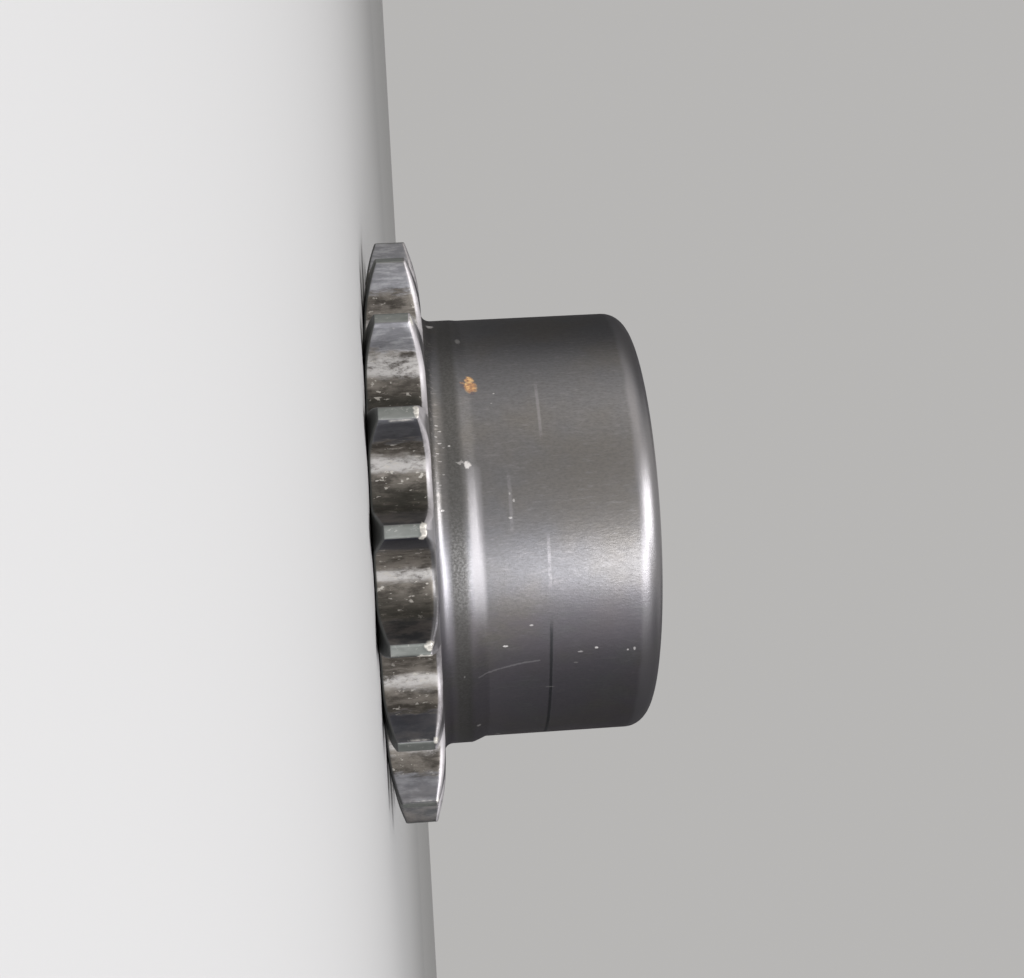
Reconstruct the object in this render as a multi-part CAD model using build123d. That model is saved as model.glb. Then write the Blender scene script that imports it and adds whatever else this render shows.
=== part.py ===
from build123d import *

import os
from math import asin, cos, pi, sin, sqrt, tan, radians

# Simplex roller chain sprocket with a long hub on one side, turned and cut from one piece of steel.
# Units are millimetres.  The axis is +Z, the plain face of the toothed plate lies at z = 0 and the hub
# stands up from it.  One tooth is centred on -Y.

# chain that the teeth fit
chain_pitch = 19.05
roller_diameter = 12.07
tooth_count = 18

# tooth form: a round seat for the roller, with a convex flank on each side of it
seat_radius = 6.1
seating_angle = 135.0
flank_radius = 32.0
tip_height_factor = 0.6
open_margin = 1.0

# toothed plate and the rounding of its teeth towards both sides
plate_width = 11.1
plain_side_relief = 2.0
hub_side_relief = 2.0
side_relief_radius = 33.0
plain_side_edge_break = 0.5
hub_side_edge_break = 0.6

# hub
hub_diameter = 86.7
total_length = 53.0
hub_end_radius = 4.5

# neck between the plate and the hub, turned slightly off the axis, with a sloping shoulder
neck_height = 0.6
neck_offset = 0.45
neck_length = 5.8
shoulder_length = 3.6
neck_fillet_radius = 1.8

# bore, its mouths and the keyway
bore_diameter = 50.0
mouth_chamfer = 1.5
key_width = 14.0
key_depth = 3.8

# worked out from the sizes above
half_tooth_angle = pi / tooth_count
pitch_radius = chain_pitch / (2 * sin(half_tooth_angle))
root_radius = pitch_radius - roller_diameter / 2
tip_radius = chain_pitch * (tip_height_factor + 1 / tan(half_tooth_angle)) / 2
hub_radius = hub_diameter / 2
bore_radius = bore_diameter / 2
neck_radius = hub_radius + neck_height
shoulder_start = plate_width + neck_length
shoulder_end = shoulder_start + shoulder_length

# lengths that differ by less than this count as the same
same_length = 0.01


def axis_distance(point):
    """Distance of a point from the sprocket's axis."""
    return sqrt(point.X**2 + point.Y**2)


def relief_depth(relief_width):
    """Radial height over which a side of the tooth curves in by relief_width at the tip."""
    return sqrt(2 * side_relief_radius * relief_width - relief_width**2)


def side_relief(face_height, relief_width, inward):
    """Arc from a flat side of the plate out to the tooth tip; inward is +1 or -1 along Z."""
    start_radius = tip_radius - relief_depth(relief_width)
    centre = (start_radius, face_height + inward * side_relief_radius)
    full_angle = asin(relief_depth(relief_width) / side_relief_radius)
    points = []
    for angle in (0, full_angle / 2, full_angle):
        radius = centre[0] + side_relief_radius * sin(angle)
        height = centre[1] - inward * side_relief_radius * cos(angle)
        points.append((radius, height))
    return ThreePointArc(*points)


def plate_blank():
    """Turned disc whose rim curves in from both flat sides to the land of the teeth."""
    lower_relief = side_relief(0, plain_side_relief, 1)
    upper_relief = side_relief(plate_width, hub_side_relief, -1)
    outline = [
        Line((0, 0), lower_relief @ 0),
        lower_relief,
        Line(lower_relief @ 1, upper_relief @ 1),
        upper_relief,
        Line(upper_relief @ 0, (0, plate_width)),
        Line((0, plate_width), (0, 0)),
    ]
    return revolve(Plane.XZ * make_face(Curve() + outline), Axis.Z)


def tooth_gap():
    """Cutter for one gap on +X: roller seat, two convex flanks and an open end outside the tips."""
    seat_centre = Vector(root_radius + seat_radius, 0)
    seat_end_angle = radians(180 - seating_angle / 2)
    seat_direction = Vector(cos(seat_end_angle), sin(seat_end_angle))
    seat_end = seat_centre + seat_direction * seat_radius
    flank_centre = seat_centre + seat_direction * (seat_radius + flank_radius)
    open_radius = tip_radius + open_margin

    centre_distance = flank_centre.length
    centre_angle = radians(flank_centre.get_angle(Vector(1, 0)))
    opening = (open_radius**2 + centre_distance**2 - flank_radius**2) / (2 * open_radius * centre_distance)
    flank_end_angle = centre_angle - asin(sqrt(1 - opening**2))
    flank_end = Vector(cos(flank_end_angle), sin(flank_end_angle)) * open_radius
    flank_middle = flank_centre + ((seat_end + flank_end) / 2 - flank_centre).normalized() * flank_radius

    upper_flank = ThreePointArc(seat_end, flank_middle, flank_end)
    lower_flank = mirror(upper_flank, Plane.XZ)
    mirrored_seat_end = Vector(seat_end.X, -seat_end.Y)
    mirrored_flank_end = Vector(flank_end.X, -flank_end.Y)
    seat = ThreePointArc(seat_end, (root_radius, 0), mirrored_seat_end)
    open_side = ThreePointArc(flank_end, (open_radius, 0), mirrored_flank_end)
    gap_face = make_face(Curve() + [upper_flank, seat, lower_flank, open_side])
    return extrude(gap_face, plate_width)


def is_rim_edge(edge):
    """True for the edges of seats, flanks and lands with either side of the plate."""
    distances = [axis_distance(point) for point in (edge @ 0, edge @ 0.5, edge @ 1)]
    outside_roots = min(distances) > root_radius - same_length
    concentric = max(distances) - min(distances) < same_length
    on_land = min(distances) > tip_radius - same_length
    return edge.geom_type != GeomType.LINE and outside_roots and (on_land or not concentric)


def rim_edges(plate, hub_side):
    """Edges round all teeth and gaps, on the hub side or on the plain side."""
    edges = plate.edges().filter_by(is_rim_edge)
    return edges.filter_by(lambda edge: ((edge @ 0.5).Z > plate_width / 2) == hub_side)


def toothed_plate():
    """Plate with a gap on each side of the tooth at -Y and its rim edges broken."""
    cutter = tooth_gap()
    first_gap = -90 + 180 / tooth_count
    plate = plate_blank() - PolarLocations(0, tooth_count, start_angle=first_gap) * cutter
    plate = chamfer(rim_edges(plate, hub_side=True), hub_side_edge_break)
    return chamfer(rim_edges(plate, hub_side=False), plain_side_edge_break)


def neck():
    """Ring between plate and hub: fillet off the plate, short cylinder, then a shoulder down to the hub."""
    fillet_top = plate_width + neck_fillet_radius
    fillet_foot = neck_radius + neck_fillet_radius
    fillet_bend = neck_fillet_radius * (1 - 1 / sqrt(2))
    shoulder_foot = hub_radius - neck_offset
    outline = [
        Polyline((0, shoulder_end), (0, plate_width), (fillet_foot, plate_width)),
        ThreePointArc(
            (fillet_foot, plate_width),
            (neck_radius + fillet_bend, plate_width + fillet_bend),
            (neck_radius, fillet_top),
        ),
        Polyline((neck_radius, fillet_top), (neck_radius, shoulder_start), (shoulder_foot, shoulder_end)),
        Line((shoulder_foot, shoulder_end), (0, shoulder_end)),
    ]
    section = make_face(Curve() + outline)
    return Pos(neck_offset, 0, 0) * revolve(Plane.XZ * section, Axis.Z)


def hub():
    """Round hub with a well rounded outer end."""
    body = extrude(Circle(hub_radius), total_length)
    end_edge = body.edges().sort_by(Axis.Z)[-1]
    return fillet(end_edge, hub_end_radius)


def bore_and_keyway():
    """Cutter for the bore with its chamfered mouths, and for the keyway on the +X side."""
    mouth_radius = bore_radius + mouth_chamfer
    outline = Polyline(
        (0, 0),
        (mouth_radius, 0),
        (bore_radius, mouth_chamfer),
        (bore_radius, total_length - mouth_chamfer),
        (mouth_radius, total_length),
        (0, total_length),
        (0, 0),
    )
    bore = revolve(Plane.XZ * make_face(outline), Axis.Z)
    key_reach = bore_radius + key_depth
    keyway = extrude(Pos(key_reach / 2, 0) * Rectangle(key_reach, key_width), total_length)
    return bore + keyway


def sprocket():
    """The whole part as one solid."""
    return toothed_plate() + neck() + hub() - bore_and_keyway()


os.makedirs("parts", exist_ok=True)
body = sprocket()
export_step(body, "parts/sprocket.step")
print("volume cm3", round(body.volume / 1000, 1), "box", body.bounding_box())
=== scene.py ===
import math
import bpy
from mathutils import Matrix, Vector, noise


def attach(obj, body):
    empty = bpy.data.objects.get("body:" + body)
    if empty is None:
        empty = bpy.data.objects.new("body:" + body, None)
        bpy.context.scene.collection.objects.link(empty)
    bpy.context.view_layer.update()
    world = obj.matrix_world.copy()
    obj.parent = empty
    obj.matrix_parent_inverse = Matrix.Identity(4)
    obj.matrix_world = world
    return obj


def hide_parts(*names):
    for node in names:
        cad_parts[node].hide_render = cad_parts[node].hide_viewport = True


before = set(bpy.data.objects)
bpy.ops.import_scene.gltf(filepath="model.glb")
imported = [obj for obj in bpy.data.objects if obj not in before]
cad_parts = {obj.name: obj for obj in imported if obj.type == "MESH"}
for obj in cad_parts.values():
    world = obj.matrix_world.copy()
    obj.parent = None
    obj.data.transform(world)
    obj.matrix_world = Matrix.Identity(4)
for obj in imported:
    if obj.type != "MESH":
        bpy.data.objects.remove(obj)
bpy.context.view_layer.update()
mm = 0.001

# sizes in millimetres
steelBody = {
    "pitch": 19.05, "roller": 12.07, "teeth": 18, "tipHeight": 0.6,
    "seatRadius": 6.1, "seatAngle": 135, "flankRadius": 32.0, "landCorner": 0.3,
    "plateWidth": 11.1, "reliefRadius": 33.0, "plainRelief": 2.0, "hubRelief": 1.6,
    "plainEdge": 0.45, "hubEdge": 1.3, "hubEdgeAtLand": 0.5, "reliefStart": 46.6,
    "neckHeight": 0.6, "neckOffset": 0.45, "neckEnd": 16.9, "shoulderEnd": 20.6, "shoulderDip": 0.3,
    "filletRadius": 1.8,
    "hubRadius": 43.35, "hubEndRadius": 4.5, "length": 53.0,
    "boreRadius": 25.0, "mouth": 1.5, "keyWidth": 14.0, "keyReach": 28.8,
}
# how the skin is cut into columns and rows; its dents and lips in millimetres, and the angle in degrees
# from which an edge is drawn sharp
skinDetail = {
    "columns": (7, 8, 5), "boreRows": 6, "plainRows": 4, "sideRows": 5, "edgeRows": 4, "wallRows": 22,
    "filletRows": 5, "neckRows": 4, "shoulderRows": 8, "hubRows": 12, "roundingRows": 10, "endRows": 4,
    "dent": 0.09, "fineDent": 0.03, "lipOut": 0.10, "lipUp": 0.12, "lipDepth": 1.2, "sharpAngle": 38,
}
# teeth counted from the one at -Y: how much more they are worn, on the plain side and on the hub side
toothWear = {-4: (0.6, 1.0), -3: (0.8, 1.0), -2: (0.2, 0.8), -1: (0.1, 0.2), 0: (0.1, 0.0), 1: (0.0, 0.1),
             2: (0.2, 0.2), 3: (0.2, 0.5), 4: (0.6, 0.7)}
otherTeethWear = (0.25, 0.4)
# gaps counted from the one just past the tooth at -Y: how bare the hub-side edge is rubbed, with a painted
# highlight on it, how pale the flanks are painted against painted shade, and where the painted highlight
# band lies (0 at one tooth, 1 at the next)
gapLook = {-4: (0.6, 1.1, 0.40), -3: (0.8, 1.1, 0.36), -2: (1.0, 1.0, 0.24), -1: (0.8, 0.45, 0.32),
           0: (0.2, 0.0, 0.46), 1: (0.6, 0.1, 0.66), 2: (0.85, 0.8, 0.68), 3: (0.8, 1.0, 0.50)}
otherGaps = (0.6, 0.6, 0.42)
# lips of burred metal on the lands of the same teeth: how far across the land towards +X, height above the
# plain face, half width, half height, strength
landLips = {
    -3: [(0.6, 9.2, 0.8, 0.7, 0.7)],
    -2: [(0.6, 9.1, 1.1, 0.6, 0.9), (1.75, 6.0, 0.4, 3.4, 0.4)],
    -1: [(0.0, 8.9, 1.5, 0.6, 0.9), (-1.3, 9.9, 0.5, 0.5, 0.8), (1.45, 6.0, 0.30, 3.4, 0.6)],
    0: [(0.0, 9.0, 1.8, 0.65, 1.0), (1.8, 8.5, 0.8, 1.0, 1.0)],
    1: [(-0.6, 8.9, 0.9, 1.1, 0.7), (1.3, 8.1, 0.5, 2.0, 1.0)],
    2: [(-1.45, 6.0, 0.26, 3.4, 0.5), (-1.2, 9.2, 0.7, 0.6, 0.9)],
    3: [(-1.45, 6.0, 0.26, 3.8, 0.45), (-1.3, 9.0, 0.5, 0.5, 0.7)],
}
otherLips = [(0.6, 9.0, 1.0, 0.6, 0.6)]


def ease(low, high, x):
    t = min(1.0, max(0.0, (x - low) / (high - low)))
    return t * t * (3 - 2 * t)


def onCircle(angle, radius):
    return Vector((math.cos(angle), math.sin(angle))) * radius


class ToothForm:
    # profile of the teeth seen along the axis; its angles run from the middle of a gap
    def __init__(self, s):
        self.s = s
        self.half = math.pi / s["teeth"]
        self.root = s["pitch"] / (2 * math.sin(self.half)) - s["roller"] / 2
        self.tip = s["pitch"] * (s["tipHeight"] + 1 / math.tan(self.half)) / 2
        self.seatCentre = Vector((self.root + s["seatRadius"], 0))
        self.seatEnd = math.radians(180 - s["seatAngle"] / 2)
        self.flankCentre = self.seatCentre + onCircle(self.seatEnd, s["seatRadius"] + s["flankRadius"])

    def tipAngle(self):
        reach, radius = self.flankCentre.length, self.s["flankRadius"]
        opening = (self.tip**2 + reach**2 - radius**2) / (2 * self.tip * reach)
        return math.atan2(self.flankCentre.y, self.flankCentre.x) - math.acos(opening)

    def halfTooth(self, seatSteps, flankSteps, landSteps):
        # points from the gap's middle to the tooth's middle, each with its outward way and its part of the
        # tooth: 0 on the seat, rising along the flank, 1 on the land
        s, points = self.s, []
        for i in range(seatSteps):
            way = onCircle(math.pi + (self.seatEnd - math.pi) * i / seatSteps, 1)
            points.append((self.seatCentre + way * s["seatRadius"], -way, 0.0))
        corner = onCircle(self.tipAngle(), self.tip)
        first = self.seatEnd + math.pi
        last = math.atan2(corner.y - self.flankCentre.y, corner.x - self.flankCentre.x)
        last += 2 * math.pi if last < first - math.pi else 0
        last -= math.copysign(s["landCorner"] / s["flankRadius"], last - first)
        for i in range(flankSteps + 1):
            way = onCircle(first + (last - first) * i / flankSteps, 1)
            points.append((self.flankCentre + way * s["flankRadius"], way, (i + 1) / (flankSteps + 2)))
        between = (points[-1][1] + corner.normalized()).normalized()
        points.append((corner - between * s["landCorner"] * 0.35, between, 0.98))
        landStart = self.tipAngle() + s["landCorner"] / self.tip
        for i in range(landSteps + 1):
            way = onCircle(landStart + (self.half - landStart) * i / landSteps, 1)
            points.append((way * self.tip, way, 1.0))
        return points

    def ring(self, seatSteps, flankSteps, landSteps):
        half = self.halfTooth(seatSteps, flankSteps, landSteps)
        flipped = [(Vector((p.x, -p.y)), Vector((n.x, -n.y)), kind) for p, n, kind in half[:0:-1]]
        gap = (flipped + half)[1:]
        points = []
        for k in range(self.s["teeth"]):
            turn = Matrix.Rotation(-math.pi / 2 + self.half * (2 * k + 1), 2)
            points += [(turn @ p, turn @ n, kind) for p, n, kind in gap]
        return points


class Skin:
    # closed net of rows round the axis: bore, plain face, teeth, neck, hub and hub end, back to the bore
    def __init__(self, s, form, detail):
        self.s, self.form, self.detail = s, form, detail
        self.profile = form.ring(*detail["columns"])
        self.count = len(self.profile)
        self.first = math.atan2(self.profile[0][0].y, self.profile[0][0].x)
        self.rows, self.masks = [], []

    def angle(self, j):
        return self.first + 2 * math.pi * j / self.count

    def keyAngle(self, j):
        # column angles near the keyway move onto its corners, so that its walls are flat
        s = self.s
        half = s["keyWidth"] / 2
        corners = [math.atan2(half, s["keyReach"]), math.asin(half / s["boreRadius"])]
        a = math.remainder(self.angle(j), 2 * math.pi)
        near = min(corners, key=lambda c: abs(abs(a) - c))
        return math.copysign(near, a) if abs(abs(a) - near) < math.pi / self.count else a

    def boreAt(self, a, radius):
        s = self.s
        half = s["keyWidth"] / 2
        if abs(a) <= math.atan2(half, s["keyReach"]) + 1e-6:
            return s["keyReach"] / math.cos(a)
        if abs(a) < math.asin(half / radius):
            return half / abs(math.sin(a))
        return radius

    def wear(self, angle, side):
        steps = math.remainder(angle + math.pi / 2, 2 * math.pi) / (2 * self.form.half)
        tooth = round(steps)
        share = 1 - ease(0.25, 0.5, abs(steps - tooth))
        worn = toothWear.get(tooth)
        if worn is None:
            worn = [w * (1 + 0.9 * noise.noise((tooth * 3.7, w, 0.5))) for w in otherTeethWear]
        return worn[side] * share

    def relief(self, point, side):
        # height of a side of the tooth, which curves in towards the tip, and how steep it is there
        s = self.s
        width = s["hubRelief" if side else "plainRelief"] + self.wear(math.atan2(point.y, point.x), side)
        radius = s["reliefRadius"]
        start = self.form.tip - math.sqrt(2 * radius * width - width**2)
        past = max(0.0, point.length - start)
        depth = radius - math.sqrt(radius**2 - past**2)
        slope = past / math.sqrt(radius**2 - past**2)
        height = s["plateWidth"] - depth if side else depth
        return height, slope

    def add(self, row, **masks):
        self.rows.append(row)
        self.masks.append(masks)

    def around(self, radiusAt, z, **masks):
        row = []
        for j in range(self.count):
            a = self.keyAngle(j)
            row.append(onCircle(a, radiusAt(a)).to_3d() + Vector((0, 0, z)))
        self.add(row, **masks)

    def bore(self):
        s, steps = self.s, self.detail["boreRows"]
        low, high = s["mouth"], s["length"] - s["mouth"]
        for i in range(steps + 1):
            self.around(lambda a: self.boreAt(a, s["boreRadius"]), high + (low - high) * i / steps)
        wide = s["boreRadius"] + s["mouth"]
        self.around(lambda a: max(wide, self.boreAt(a, s["boreRadius"])), 0)

    def plainFace(self):
        s, steps = self.s, self.detail["plainRows"]
        inner = s["boreRadius"] + s["mouth"]
        for i in range(1, steps + 1):
            share = i / steps
            self.around(lambda a: max(inner, self.boreAt(a, s["boreRadius"])) * (1 - share)
                        + s["reliefStart"] * share, 0)

    def edgePoint(self, j, side, share):
        # on the rounded edge between a gap wall (share 0) and a side of the tooth (share 1)
        point, way, kind = self.profile[j]
        size = self.s["plainEdge"]
        if side:
            size = self.s["hubEdge"] + (self.s["hubEdgeAtLand"] - self.s["hubEdge"]) * kind ** 1.4
        inner = point - way * size
        height, slope = self.relief(inner, side)
        tilt = math.atan(slope * max(0.0, way.dot(inner.normalized())))
        lift = -1 if side else 1
        centre = height + lift * size / math.cos(tilt)
        a = (math.pi / 2 - tilt) * share
        flat = inner + way * size * math.cos(a)
        return Vector((flat.x, flat.y, centre - lift * size * math.sin(a)))

    def sideRows(self, side):
        rows, steps = [], self.detail["sideRows"]
        for i in range(1, steps):
            share = i / steps
            row = []
            for j in range(self.count):
                outer = self.edgePoint(j, side, 1)
                inner = onCircle(self.angle(j), self.s["reliefStart"])
                flat = outer.to_2d().lerp(inner, share)
                height = self.relief(flat, side)[0]
                row.append(Vector((flat.x, flat.y, height)))
            rows.append(row)
        return rows

    def teeth(self):
        edgeSteps, wallSteps = self.detail["edgeRows"], self.detail["wallRows"]
        for row in reversed(self.sideRows(0)):
            self.add(row, side=1)
        for i in range(edgeSteps, 0, -1):
            share = i / edgeSteps
            self.add([self.edgePoint(j, 0, share) for j in range(self.count)], side=share, edge=1 - share)
        for i in range(wallSteps + 1):
            share = i / wallSteps
            row = [self.edgePoint(j, 0, 0).lerp(self.edgePoint(j, 1, 0), share) for j in range(self.count)]
            self.add(row, wall=1)
        for i in range(1, edgeSteps + 1):
            share = i / edgeSteps
            self.add([self.edgePoint(j, 1, share) for j in range(self.count)], hubEdge=1, hubSide=share)
        for i, row in enumerate(self.sideRows(1), 1):
            # the rubbed edge, partly a painted highlight, fades out over the first rows of the side
            self.add(row, hubSide=1, hubEdge=max(0.0, 1.2 - 0.4 * i))

    def neckRadius(self, a):
        return self.s["hubRadius"] + self.s["neckHeight"] + self.s["neckOffset"] * math.cos(a)

    def shoulderRadius(self, a, fall):
        # the slope runs a little below the hub and is cut off by it, which gives the uneven end of the neck
        neck, hub = self.neckRadius(a), self.s["hubRadius"]
        return max(hub, neck + (hub - self.s["shoulderDip"] - neck) * fall)

    def neck(self):
        s = self.s
        r, steps = s["filletRadius"], self.detail["filletRows"]
        self.around(lambda a: self.neckRadius(a) + r, s["plateWidth"], fillet=0.3)
        for i in range(1, steps + 1):
            turn = math.pi / 2 * i / steps
            self.around(lambda a: self.neckRadius(a) + r * (1 - math.sin(turn)),
                        s["plateWidth"] + r * (1 - math.cos(turn)), fillet=1, neck=i / steps)
        steps = self.detail["neckRows"]
        for i in range(1, steps):
            z = s["plateWidth"] + r + (s["neckEnd"] - s["plateWidth"] - r) * i / steps
            self.around(self.neckRadius, z, neck=1)
        steps = self.detail["shoulderRows"]
        for i in range(steps + 1):
            share = i / steps
            fall = ease(0, 1, share) * 0.35 + share * 0.65
            z = s["neckEnd"] + (s["shoulderEnd"] - s["neckEnd"]) * share
            self.around(lambda a: self.shoulderRadius(a, fall), z,
                        neck=1 - share, step=math.sin(math.pi * share))

    def hub(self):
        s, steps = self.s, self.detail["hubRows"]
        roundStart = s["length"] - s["hubEndRadius"]
        for i in range(1, steps + 1):
            z = s["shoulderEnd"] + (roundStart - s["shoulderEnd"]) * i / steps
            self.around(lambda a: s["hubRadius"], z)
        steps = self.detail["roundingRows"]
        for i in range(1, steps + 1):
            turn = math.pi / 2 * i / steps
            radius = s["hubRadius"] - s["hubEndRadius"] * (1 - math.cos(turn))
            z = roundStart + s["hubEndRadius"] * math.sin(turn)
            self.around(lambda a: radius, z)
        flat = s["hubRadius"] - s["hubEndRadius"]
        wide, steps = s["boreRadius"] + s["mouth"], self.detail["endRows"]
        for i in range(1, steps + 1):
            share = i / steps
            self.around(lambda a: flat * (1 - share) + max(wide, self.boreAt(a, s["boreRadius"])) * share,
                        s["length"])

    def toothStep(self, point):
        # 0 at the middle of the tooth at -Y, 1 at the next tooth towards +X
        return math.remainder(math.atan2(point.y, point.x) + math.pi / 2, 2 * math.pi) / (2 * self.form.half)

    def lipAt(self, point):
        # how much of a lip stands at this point, 0 where there is none
        steps = self.toothStep(point)
        across = (steps - round(steps)) * 2 * self.form.half * self.form.tip
        depth = (point.to_2d().length - self.form.tip) / self.detail["lipDepth"]
        ragged = 0.35 * noise.noise(point * 1.6)
        near = 0.0
        for middle, height, halfWide, halfHigh, strength in landLips.get(round(steps), otherLips):
            far = Vector(((across - middle) / halfWide, (point.z - height) / halfHigh, depth)).length
            near = max(near, strength * (1 - ease(0.65, 1.05, far + ragged)))
        return near

    def roughen(self, verts):
        # pits and hammered metal on the walls of the gaps, and raised lips on the lands; each point's lip,
        # gap and place in the gap are kept for the material
        n, detail = self.count, self.detail
        for i, masks in enumerate(self.masks):
            wall = masks.get("wall", 0) + 0.6 * masks.get("hubEdge", 0)
            if not (wall or masks.get("hubSide") or masks.get("edge")):
                continue
            for j in range(n):
                point = verts[i * n + j]
                p, way, kind = self.profile[j]
                seat = 1 - ease(0.15, 0.45, kind)
                along = Vector((point.x * 0.8, point.y * 0.8, point.z * 0.35))
                dent = noise.fractal(along * 1.1, 1.0, 2.0, 4) * detail["dent"]
                dent += noise.noise(point * 2.3) * detail["fineDent"]
                push = dent * (0.18 + 0.82 * seat) * min(1, wall)
                lip = self.lipAt(point)
                self.lips[i * n + j] = lip
                step = self.toothStep(point)
                rubAndSheen, flankShading, band = gapLook.get(math.floor(step), otherGaps)
                self.rubs[i * n + j], self.tones[i * n + j] = rubAndSheen, flankShading
                self.places[i * n + j] = step % 1 - band
                raised = (way * (push + detail["lipOut"] * lip)).to_3d()
                verts[i * n + j] = point + raised + Vector((0, 0, detail["lipUp"] * lip))

    def build(self, name):
        self.bore()
        self.plainFace()
        self.teeth()
        self.neck()
        self.hub()
        mesh = bpy.data.meshes.new(name)
        n, m = self.count, len(self.rows)
        verts = [p for row in self.rows for p in row]
        self.lips, self.rubs, self.tones, self.places = ([0.0] * len(verts) for layer in range(4))
        self.roughen(verts)
        verts = [p * mm for p in verts]
        faces = [(i * n + j, i * n + (j + 1) % n, ((i + 1) % m) * n + (j + 1) % n, ((i + 1) % m) * n + j)
                 for i in range(m) for j in range(n)]
        mesh.from_pydata(verts, [], faces)
        layers = {key: [masks.get(key, 0.0) for masks in self.masks for j in range(n)]
                  for key in ("side", "edge", "wall", "hubEdge", "hubSide", "fillet", "neck", "step")}
        layers["toothPart"] = [kind for row in self.rows for p, way, kind in self.profile]
        layers["lip"], layers["rubAndSheen"] = self.lips, self.rubs
        layers["flankShading"], layers["gapPlace"] = self.tones, self.places
        for key, values in layers.items():
            mesh.attributes.new(key, "FLOAT", "POINT").data.foreach_set("value", values)
        mesh.polygons.foreach_set("use_smooth", [True] * len(mesh.polygons))
        mesh.set_sharp_from_angle(angle=math.radians(self.detail["sharpAngle"]))
        thing = bpy.data.objects.new(name, mesh)
        bpy.context.scene.collection.objects.link(thing)
        return thing


form = ToothForm(steelBody)
skin = Skin(steelBody, form, skinDetail).build("sprocketSkin")
print("skin built:", len(skin.data.vertices), "points")
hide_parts("sprocket")
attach(skin, "root")


# shader writing: Sock wraps a socket so that maths on sockets reads as plain expressions
class Sock:
    def __init__(self, tree, socket):
        self.tree, self.socket = tree, socket

    def math(self, operation, *values):
        return self.tree.math(operation, self, *values)

    def __add__(self, other):
        return self.math("ADD", other)

    def __sub__(self, other):
        return self.math("SUBTRACT", other)

    def __mul__(self, other):
        return self.math("MULTIPLY", other)

    def __truediv__(self, other):
        return self.math("DIVIDE", other)

    def __rsub__(self, other):
        return self.tree.math("SUBTRACT", other, self)

    def __rtruediv__(self, other):
        return self.tree.math("DIVIDE", other, self)

    __radd__, __rmul__ = __add__, __mul__

    def either(self, other):
        return self.math("MAXIMUM", other)

    def step(self, low, high):
        # 0 below low, 1 above high, eased in between
        return self.tree.add("ShaderNodeMapRange", {"interpolation_type": "SMOOTHSTEP"},
                             {"Value": self, "From Min": low, "From Max": high})

    def within(self, low, high, soft):
        # 1 between low and high, with soft ends
        return self.step(low - soft, low + soft) * (1 - self.step(high - soft, high + soft))


class Paint:
    # a material and the one way in which it gets its nodes
    def __init__(self, name):
        self.material = bpy.data.materials.new(name)
        self.material.use_nodes = True
        self.nodes = self.material.node_tree.nodes
        self.nodes.clear()

    def add(self, kind, settings, values, output=0):
        node = self.nodes.new(kind)
        for key, value in settings.items():
            setattr(node, key, value)
        for key, value in values.items():
            if isinstance(value, Sock):
                self.material.node_tree.links.new(value.socket, node.inputs[key])
            else:
                node.inputs[key].default_value = value
        return Sock(self, node.outputs[output])

    def math(self, operation, *values):
        return self.add("ShaderNodeMath", {"operation": operation}, dict(enumerate(values)))

    def scale(self, vector, sizes):
        return self.add("ShaderNodeVectorMath", {"operation": "MULTIPLY"}, {0: vector, 1: sizes})

    def drawnOut(self, vector, share):
        # patterns made with this grow longer along the axis as share falls below 1
        return self.scale(vector, (1.0, 1.0, share))

    def split(self, vector):
        parts = self.add("ShaderNodeSeparateXYZ", {}, {0: vector})
        return [Sock(self, parts.socket.node.outputs[i]) for i in range(3)]

    def spots(self, along, around, places):
        # soft ellipses round the listed places
        total = None
        for z, a, halfLong, halfRound, strength in places:
            u, v = (along - z) / halfLong, (around - a) / halfRound
            spot = strength * (1 - (u * u + v * v).step(0.25, 1.0))
            total = spot if total is None else total.either(spot)
        return total

    def line(self, along, around, places, halfWidth):
        # a drawn line through the listed places
        total = None
        for (z0, a0), (z1, a1) in zip(places, places[1:]):
            length = math.hypot(z1 - z0, a1 - a0)
            uz, ua = (z1 - z0) / length, (a1 - a0) / length
            u = (along - z0) * uz + (around - a0) * ua
            v = ((around - a0) * uz - (along - z0) * ua).math("ABSOLUTE")
            piece = u.within(0.0, length, 0.15) * (1 - v.step(halfWidth * 0.6, halfWidth * 1.5))
            total = piece if total is None else total.either(piece)
        return total

    def mask(self, name):
        return self.add("ShaderNodeAttribute", {"attribute_name": name}, {}, "Fac")

    def mix(self, share, first, second):
        settings = {"data_type": "RGBA", "blend_type": "MIX"}
        return self.add("ShaderNodeMix", settings, {0: share, 6: first, 7: second}, 2)

    def noise(self, where, scale, detail=2.0, rough=0.5):
        values = {"Vector": where, "Scale": scale, "Detail": detail, "Roughness": rough}
        return self.add("ShaderNodeTexNoise", {"noise_dimensions": "3D"}, values)

    def finish(self, surface):
        out = self.nodes.new("ShaderNodeOutputMaterial")
        self.material.node_tree.links.new(surface.socket, out.inputs["Surface"])
        return self.material


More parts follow.
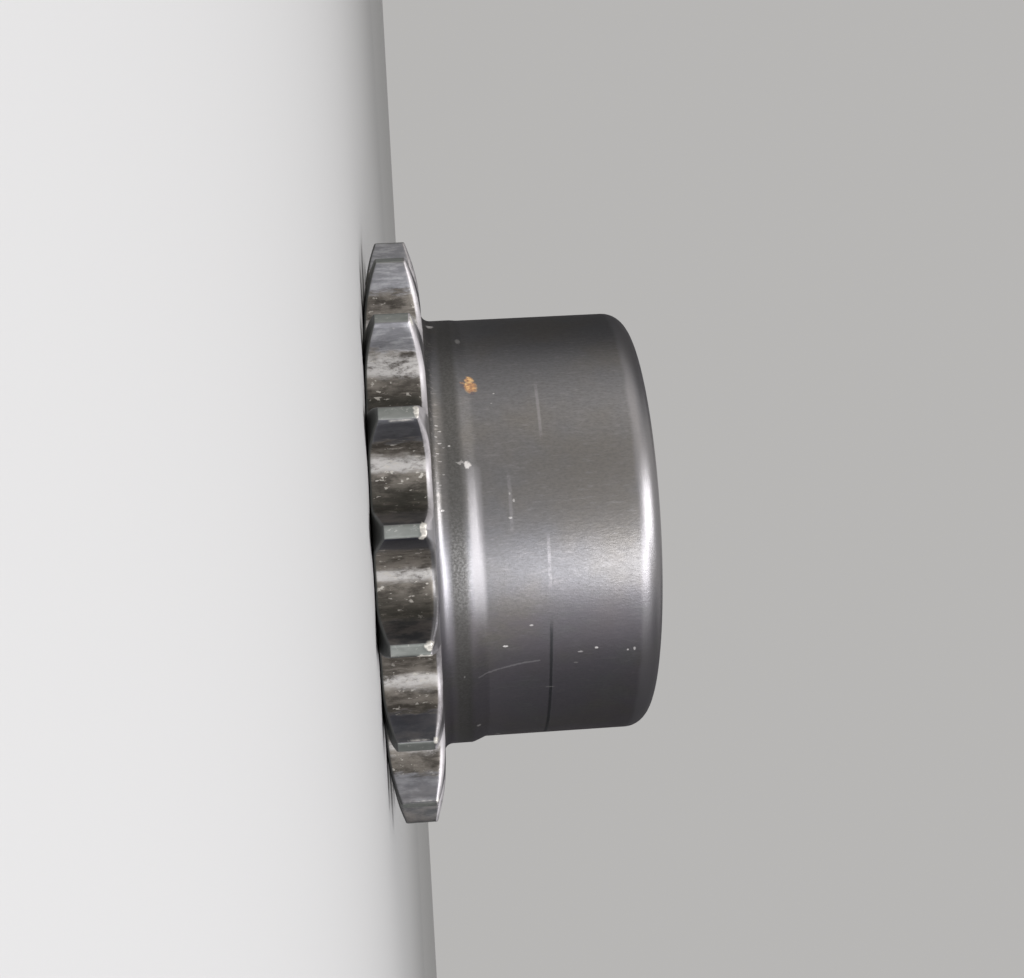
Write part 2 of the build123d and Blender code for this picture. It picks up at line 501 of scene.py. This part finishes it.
# marks on the hub in millimetres: height above the plain face, way round from -Y towards +X, half height,
# half width, strength; the scratch is a line through points, the lines round the hub are heights
hubMarks = {
    "rust": [(19.4, -28.2, 1.45, 1.7, 1.0), (19.2, -30.0, 1.0, 1.0, 0.95), (17.9, -29.2, 0.4, 0.5, 0.6)],
    "rustFringe": [(18.4, -28.6, 1.1, 1.2, 1.0), (19.7, -26.5, 0.5, 0.4, 1.0)],
    "ticks": [(23.04, 23.4, 0.62, 0.24, 1.0), (37.0, 25.7, 0.6, 0.22, 0.55), (40.0, 25.0, 0.42, 0.30, 0.9),
              (45.9, 25.9, 0.22, 0.25, 0.8), (47.2, 25.8, 0.25, 0.5, 0.7), (27.9, 19.2, 0.45, 0.2, 0.7),
              (15.3, 29.4, 0.15, 0.35, 0.4), (23.6, -26.3, 0.25, 0.18, 0.7), (23.0, -24.0, 0.2, 0.18, 0.4),
              (25.7, -4.5, 0.26, 0.40, 0.5), (25.0, -5.8, 0.2, 0.3, 0.4), (24.9, -1.4, 0.42, 0.25, 0.6),
              (22.1, 56.9, 0.6, 0.35, 0.7), (17.9, 46.4, 0.5, 0.6, 0.35), (17.8, -42.8, 0.6, 1.2, 0.3),
              (36.2, 28.3, 0.5, 0.2, 0.25), (12.7, -51.5, 0.9, 1.3, 0.8), (31.5, 34.5, 1.2, 0.14, 0.3)],
    "scuffs": [(12.5, -19.4, 0.35, 0.16, 0.6), (13.0, -18.2, 0.42, 0.14, 0.7), (12.3, -17.1, 0.3, 0.15, 0.5),
               (12.9, -15.8, 0.45, 0.15, 0.8), (13.6, -14.9, 0.3, 0.12, 0.5), (12.4, -13.8, 0.35, 0.14, 0.6),
               (14.6, -15.2, 0.3, 0.2, 0.7), (12.8, -12.3, 0.4, 0.13, 0.5), (13.3, -9.8, 0.3, 0.12, 0.5),
               (12.6, -7.9, 0.3, 0.12, 0.4), (12.7, -3.3, 0.45, 0.22, 0.8)],
    "scratch": [(17.9, 30.1), (22.0, 28.6), (26.0, 27.6), (29.5, 27.2)],
    "witness": 31.6, "witnessHalf": 0.28, "secondLine": (24.8, 25.4),
    "shoulderBurr": [(17.7, -11.4, 0.75, 0.85, 1.0), (16.4, -11.9, 0.9, 0.35, 0.5)],
}
# colours of the steel, of what lies on it and of its marks
steelTints = {
    "oxideWarm": (0.257, 0.243, 0.228, 1), "oxideCool": (0.243, 0.242, 0.252, 1),
    "oxidePale": (0.30, 0.285, 0.285, 1), "grain": (0.15, 0.145, 0.145, 1),
    "dash": (0.36, 0.35, 0.355, 1), "violet": (0.225, 0.20, 0.24, 1), "rim": (0.35, 0.34, 0.355, 1),
    "neck": (0.13, 0.127, 0.12, 1), "pepper": (0.28, 0.275, 0.27, 1), "scuff": (0.48, 0.46, 0.44, 1),
    "shoulder": (0.34, 0.33, 0.34, 1), "hubSide": (0.36, 0.355, 0.365, 1),
    "fillet": (0.42, 0.41, 0.44, 1), "flank": (0.25, 0.25, 0.265, 1), "flankPale": (0.44, 0.44, 0.455, 1),
    "flankInShade": (0.085, 0.087, 0.105, 1), "land": (0.24, 0.255, 0.24, 1),
    "landPale": (0.35, 0.36, 0.345, 1), "landMark": (0.50, 0.50, 0.47, 1),
    "dirt": (0.075, 0.066, 0.056, 1), "dirtPale": (0.21, 0.19, 0.165, 1),
    "dirtStreak": (0.33, 0.30, 0.27, 1), "gapShade": (0.04, 0.039, 0.032, 1),
    "gapShadePale": (0.09, 0.082, 0.068, 1), "gapHighlight": (0.57, 0.555, 0.54, 1),
    "crumb": (0.42, 0.38, 0.33, 1), "fleck": (0.52, 0.495, 0.45, 1), "flankShade": (0.045, 0.045, 0.043, 1),
    "flankShadePale": (0.15, 0.135, 0.12, 1), "plainSideShade": (0.075, 0.08, 0.075, 1), "bareAndSheen": (0.60, 0.575, 0.59, 1),
    "lip": (0.50, 0.48, 0.44, 1), "lipGlint": (0.82, 0.79, 0.72, 1), "rustFringe": (0.20, 0.16, 0.18, 1),
    "rust": (0.62, 0.27, 0.11, 1), "rustPale": (0.93, 0.63, 0.30, 1), "paleLine": (0.55, 0.53, 0.55, 1),
    "darkLine": (0.07, 0.075, 0.08, 1), "scratch": (0.62, 0.60, 0.62, 1), "tick": (0.78, 0.76, 0.74, 1),
    "burr": (0.80, 0.77, 0.75, 1),
}
steelFinish = {"metallic": 0.92, "roughness": 0.27, "roughest": 0.85, "bump": 0.45, "bumpHeight": 0.00006}


def darkSteel(s, marks, tints, finish):
    p = Paint("darkSteel")
    place = p.add("ShaderNodeTexCoord", {}, {}, "Object")
    point = p.scale(place, (1 / mm, 1 / mm, 1 / mm))
    x, y, along = p.split(point)
    around = x.math("ARCTAN2", 0.0 - y) * s["hubRadius"]

    # masks that the mesh carries
    wall, toothPart, side, hubSide = (p.mask(key) for key in ("wall", "toothPart", "side", "hubSide"))
    hubEdge, edge, neck, stepMask = (p.mask(key) for key in ("hubEdge", "edge", "neck", "step"))
    fillet, lip, rubAndSheen = (p.mask(key) for key in ("fillet", "lip", "rubAndSheen"))
    flankShading, gapPlace = p.mask("flankShading"), p.mask("gapPlace")
    gapShade = gapPlace.step(0.10, 0.36)  # side of a gap painted in shade, towards the next tooth
    onHub = (along - s["shoulderEnd"]).step(-0.6, 0.3)

    # turned steel under a thin dark oxide: fine grain drawn out along the axis, broad cloudy tints
    grain = p.noise(p.drawnOut(point, 0.42), 3.2, 3.0, 0.6)
    fine = p.noise(p.drawnOut(point, 0.6), 7.0, 2.0, 0.5)
    cloud = p.noise(point, 0.055, 3.0, 0.55)
    cloudTwo = p.noise(p.drawnOut(point, 0.5), 0.16, 4.0, 0.6)
    oxide = p.mix(cloud.step(0.35, 0.65), tints["oxideWarm"], tints["oxideCool"])
    oxide = p.mix(cloudTwo.step(0.52, 0.75) * 0.35, oxide, tints["oxidePale"])
    dashes = p.noise(p.drawnOut(point, 0.22), 1.8, 4.0, 0.7)
    steel = p.mix(grain.step(0.35, 0.75) * 0.45, oxide, tints["grain"])
    steel = p.mix(dashes.step(0.52, 0.72) * 0.45, steel, tints["dash"])
    steel = p.mix(around.step(8.0, 22.0) * cloudTwo.step(0.30, 0.60) * 0.5, steel, tints["violet"])
    # the rounded end of the hub is painted lighter: a painted highlight
    roundStart = s["length"] - s["hubEndRadius"]
    rim = (along + cloudTwo * 1.2 - 0.6).step(roundStart - 0.5, roundStart + 0.5)
    steel = p.mix(rim * 0.6, steel, tints["rim"])
    steelRough = finish["roughness"] + grain * 0.10 + fine * 0.06

    # the neck is rougher, darker and peppered; its pale specks are painted stronger where the lamp's
    # highlight falls, as painted sparkle
    pepper = p.noise(p.drawnOut(point, 0.8), 2.6, 2.0, 0.6)
    gritAndSparkle = around.within(2.0, 13.0, 6.0)
    neckColour = p.mix(pepper.step(0.35, 0.70) * (0.3 + gritAndSparkle * 0.7), tints["neck"], tints["pepper"])
    onNeck = (along.within(s["plateWidth"] + 2.6, s["neckEnd"] - 0.2, 0.7)) * neck.step(0.3, 0.7)
    steel = p.mix(onNeck * 0.9, steel, neckColour)
    steelRough = steelRough + onNeck * (0.02 + pepper * gritAndSparkle * 0.2)
    # short scuffs where the plate meets the neck; past its burr the shoulder is painted pale as a painted
    # highlight
    scuffs = p.noise(p.drawnOut(point, 0.30), 1.6, 2.0, 0.6).step(0.56, 0.64)
    scuffs = scuffs * (along + cloudTwo * 2).within(12.2, 13.6, 0.5) * around.within(-44.0, -4.0, 3.0)
    steel = p.mix(scuffs * 0.6, steel, tints["scuff"])
    burrAt = marks["shoulderBurr"][0][1]
    shoulder = stepMask.step(0.2, 0.8) * (around + cloudTwo * 3 - 1.5).within(burrAt, 16.0, 5.0)
    shoulder = shoulder * (around - burrAt).step(-0.6, 0.6)
    steel = p.mix(shoulder * 0.8, steel, tints["shoulder"])
    steelRough = steelRough + shoulder * 0.08
    # the hub side of the teeth is painted lighter as painted light, and the fillet is painted pale as a
    # painted highlight where the key lamp's reflection lies on it
    steel = p.mix(hubSide * 0.8, steel, tints["hubSide"])
    steel = p.mix(fillet * around.within(2.0, 22.0, 8.0) * 0.6, steel, tints["fillet"])

    # flanks streaked, and painted pale in some gaps and dark in others as painted light and painted shade;
    # lands matt and slightly green
    flank = wall * toothPart.step(0.08, 0.3) * (1 - toothPart.step(0.93, 0.97))
    streak = p.noise(p.drawnOut(point, 0.25), 0.9, 4.0, 0.65)
    flankColour = p.mix(streak.step(0.4, 0.7), tints["flank"], tints["flankPale"])
    flankColour = p.mix(flankShading * (0.6 + cloudTwo * 0.6), tints["flankInShade"], flankColour)
    steel = p.mix(flank, steel, flankColour)
    land = (wall * toothPart.step(0.95, 0.99)).step(0.3, 0.8)
    landColour = p.mix(cloudTwo.step(0.4, 0.7), tints["land"], tints["landPale"])
    landMarks = p.noise(p.drawnOut(point, 0.7), 1.1, 4.0, 0.7)
    landColour = p.mix(landMarks.step(0.58, 0.70) * 0.8, landColour, tints["landMark"])
    steel = p.mix(land, steel, landColour)

    # grease and dust packed in the gaps, with pale crumbs all over; a pale rough band beside the middle of
    # each gap is a painted highlight, and towards the next tooth the gap is painted dark as painted shade
    seat = (wall + hubEdge * 0.35 + edge * 0.6) * (1 - (toothPart + streak * 0.6 - 0.3).step(0.10, 0.50))
    packed = seat.step(0.1, 0.8)
    crumbs = p.noise(p.drawnOut(point, 0.5), 1.5, 5.0, 0.75)
    smear = p.noise(p.drawnOut(point, 0.45), 0.42, 5.0, 0.66)
    dirt = p.mix(smear.step(0.38, 0.62), tints["dirt"], tints["dirtPale"])
    dirt = p.mix(streak.step(0.50, 0.72) * 0.5, dirt, tints["dirtStreak"])
    dark = p.mix(streak.step(0.45, 0.7), tints["gapShade"], tints["gapShadePale"])
    dirt = p.mix(gapShade * 0.85, dirt, dark)
    gapHighlightBand = (gapPlace + (streak - 0.5) * 0.12 + (smear - 0.5) * 0.10).within(-0.06, 0.055, 0.035)
    gapHighlightBand = gapHighlightBand * (crumbs * 0.6 + smear * 0.5).step(0.38, 0.60)
    dirt = p.mix(gapHighlightBand * 0.85, dirt, tints["gapHighlight"])
    dirt = p.mix(crumbs.step(0.60, 0.72) * 0.6, dirt, tints["crumb"])
    flecks = p.noise(p.drawnOut(point, 0.55), 1.05, 3.0, 0.6).step(0.625, 0.67)
    dirt = p.mix(flecks * 0.9, dirt, tints["fleck"])
    colour = p.mix(packed, steel, dirt)
    # the flanks on that side are painted near black: painted shade
    flankShade = p.mix(smear.step(0.36, 0.64), tints["flankShade"], tints["flankShadePale"])
    colour = p.mix(flank * gapShade * 0.75, colour, flankShade)

    # the teeth's plain side and its edges are painted dark: painted shade
    colour = p.mix((side + edge * 0.9) * 0.85, colour, tints["plainSideShade"])

    # bare metal on rubbed edges and on the lips of the lands, partly a painted highlight where the edges
    # catch the lamps
    worn = p.noise(point, 0.8, 4.0, 0.65)
    bareAndSheen = (hubEdge * rubAndSheen * (0.45 + worn * 0.9)).step(0.25, 0.80)
    colour = p.mix(bareAndSheen * 0.9, colour, tints["bareAndSheen"])
    # the lips' near white is partly burred bare metal and partly a painted glint
    bright = (lip * (0.5 + worn * 1.1)).step(0.25, 0.80)
    lipMetalAndGlint = p.mix(crumbs.step(0.42, 0.60), tints["lip"], tints["lipGlint"])
    colour = p.mix(bright, colour, lipMetalAndGlint)

    # marks on the hub
    warp = p.noise(point, 1.3, 3.0, 0.6) - 0.5
    z, a = along + warp * 1.0, around + warp * 1.5
    rust = p.spots(z, a, marks["rust"]) * (0.55 + crumbs.step(0.38, 0.56) * 0.45)
    fringe = p.spots(z, a, marks["rustFringe"])
    ticks = p.spots(along + warp * 0.25, around + warp * 0.3, marks["ticks"] + marks["scuffs"])
    scratch = p.line(along + warp * 0.3, around + warp * 0.4, marks["scratch"], 0.16)
    low, high = marks["witness"] - marks["witnessHalf"], marks["witness"] + marks["witnessHalf"]
    witness = (along + warp * 0.2).within(low, high, 0.15) * onHub
    paleLine = witness * (around + warp * 6).within(-27.5, -17.0, 2.0) * 0.3
    paleLine = paleLine.either(witness * around.within(2.5, 11.5, 1.5) * (0.25 + warp * 1.2))
    secondLine = (along + warp * 0.6).within(*marks["secondLine"], 0.2)
    secondLine = secondLine * (around + warp * 8).within(-8.5, 0.5, 2.0)
    paleLine = paleLine.either(secondLine * 0.25)
    darkLine = witness * (around + warp * 4).within(19.5, 60.0, 2.5) * 0.8
    colour = p.mix(fringe * 0.5, colour, tints["rustFringe"])
    colour = p.mix(rust, colour, p.mix(crumbs.step(0.4, 0.6), tints["rust"], tints["rustPale"]))
    colour = p.mix(paleLine, colour, tints["paleLine"])
    colour = p.mix(darkLine, colour, tints["darkLine"])
    colour = p.mix(scratch * 0.55, colour, tints["scratch"])
    colour = p.mix(ticks, colour, tints["tick"])
    burr = p.spots(z, a, marks["shoulderBurr"])
    colour = p.mix(burr * 0.85, colour, tints["burr"])

    # how metallic, rough and uneven it all is
    metal = finish["metallic"] - packed * (0.14 + crumbs * 0.4 + gapHighlightBand * 0.25) - bareAndSheen * 0.30
    metal = metal - (bright + ticks + rust + burr).math("MINIMUM", 1.0) * metal * 0.55
    rough = steelRough + packed * (0.22 * smear - 0.02) + flank * 0.06 + land * 0.12 + side * 0.15
    rough = rough + bareAndSheen * 0.14 + rust * 0.4 + gapHighlightBand * packed * 0.2
    rough = rough.math("MINIMUM", finish["roughest"])
    pits = grain * 0.6 + fine * 0.4 + dashes * 0.5
    pits = pits + packed * (crumbs * 2.4 + streak * 1.5) + onNeck * pepper * gritAndSparkle * 2.2
    height = pits - darkLine * 1.2 + ticks * 0.8 + rust * 0.8
    relief = {"Height": height, "Strength": finish["bump"], "Distance": finish["bumpHeight"]}
    bump = p.add("ShaderNodeBump", {}, relief, "Normal")
    surface = p.add("ShaderNodeBsdfPrincipled", {}, {
        "Base Color": colour, "Metallic": metal, "Roughness": rough, "Normal": bump})
    return p.finish(surface)


skin.data.materials.append(darkSteel(steelBody, hubMarks, steelTints, steelFinish))
print("steel painted")


# floor, world, lamps, dark cards beside the object and camera; metres
studio = {
    "floorSize": 6.0, "floorDrop": 0.0002, "floorColour": (0.50, 0.50, 0.50, 1), "floorRoughness": 0.85,
    "skyColour": (0.475, 0.468, 0.46, 1), "middle": (0, 0, 0.026),
}
lamps = {
    "keyLamp": {"place": (0.168, -0.40, 0.22), "size": (0.34, 0.17), "power": 0.97,
                "colour": (0.97, 0.97, 1.0)},
    "highLamp": {"place": (-0.03, -0.34, 0.44), "size": (0.38, 0.20), "power": 1.5,
                 "colour": (1.0, 0.99, 1.0)},
    "warmLamp": {"place": (-0.55, -0.30, 0.30), "size": (0.50, 0.40), "power": 0.35,
                 "colour": (1.0, 0.94, 0.86)},
}
# cards that only show as dark reflections: corners seen from above, and height
cards = {
    "cardRight": {"corners": [(0.28, -0.15), (0.30, 0.40), (0.07, 0.55)], "height": 0.7},
    "cardLeft": {"corners": [(-0.36, 0.03), (-0.34, 0.40), (-0.09, 0.55)], "height": 0.7},
}
cardLook = {"colour": (0.05, 0.05, 0.055, 1), "roughness": 0.9, "gap": 0.0005}  # gap: under each card
# the camera lies on its side: the hub points to the right of the picture
viewpoint = {
    "place": (0, -0.30619, 0.00763), "lens": 51.139, "sensor": 36, "near": 0.01, "far": 20,
    "right": (0.05742, -0.06627, 0.99615), "down": (0.99804, 0.02861, -0.05563),
}


def makeFloor(s):
    bpy.ops.mesh.primitive_plane_add(size=s["floorSize"], location=(0, 0, -s["floorDrop"]))
    floor = bpy.context.object
    floor.name = "floor"
    p = Paint("floorPaint")
    surface = {"Base Color": s["floorColour"], "Roughness": s["floorRoughness"]}
    floor.data.materials.append(p.finish(p.add("ShaderNodeBsdfPrincipled", {}, surface)))


def makeSky(s):
    world = bpy.data.worlds.new("studioSky")
    world.use_nodes = True
    world.node_tree.nodes["Background"].inputs["Color"].default_value = s["skyColour"]
    world.node_tree.nodes["Background"].inputs["Strength"].default_value = 1.0
    bpy.context.scene.world = world


def makeLamp(name, lamp, target):
    data = bpy.data.lights.new(name, "AREA")
    data.shape = "RECTANGLE"
    data.size, data.size_y = lamp["size"]
    data.energy = lamp["power"]
    data.color = lamp["colour"]
    thing = bpy.data.objects.new(name, data)
    thing.location = lamp["place"]
    thing.rotation_mode = "QUATERNION"
    thing.rotation_quaternion = (Vector(target) - Vector(lamp["place"])).to_track_quat("-Z", "X")
    bpy.context.scene.collection.objects.link(thing)


def cardPaint(look):
    p = Paint("cardPaint")
    surface = {"Base Color": look["colour"], "Roughness": look["roughness"]}
    return p.finish(p.add("ShaderNodeBsdfPrincipled", {}, surface))


def makeCard(name, card, gap, paint):
    mesh = bpy.data.meshes.new(name)
    corners = card["corners"]
    points = [(x, y, z) for x, y in corners for z in (gap, card["height"])]
    sheets = [(2 * i, 2 * i + 2, 2 * i + 3, 2 * i + 1) for i in range(len(corners) - 1)]
    mesh.from_pydata(points, [], sheets)
    mesh.materials.append(paint)
    thing = bpy.data.objects.new(name, mesh)
    bpy.context.scene.collection.objects.link(thing)
    for ray in ("camera", "diffuse", "shadow", "transmission", "volume_scatter"):
        setattr(thing, "visible_" + ray, False)


def makeCamera(v):
    data = bpy.data.cameras.new("camera")
    data.lens, data.sensor_width = v["lens"], v["sensor"]
    data.clip_start, data.clip_end = v["near"], v["far"]
    camera = bpy.data.objects.new("camera", data)
    right, down = Vector(v["right"]), Vector(v["down"])
    forward = right.cross(down)
    turn = Matrix((right, -down, -forward)).transposed().to_4x4()
    camera.matrix_world = Matrix.Translation(v["place"]) @ turn
    bpy.context.scene.collection.objects.link(camera)
    bpy.context.scene.camera = camera


makeFloor(studio)
makeSky(studio)
for name, lamp in lamps.items():
    makeLamp(name, lamp, studio["middle"])
darkCard = cardPaint(cardLook)
for name, card in cards.items():
    makeCard(name, card, cardLook["gap"], darkCard)
makeCamera(viewpoint)
bpy.context.scene.view_settings.view_transform = "Standard"
print("studio ready")
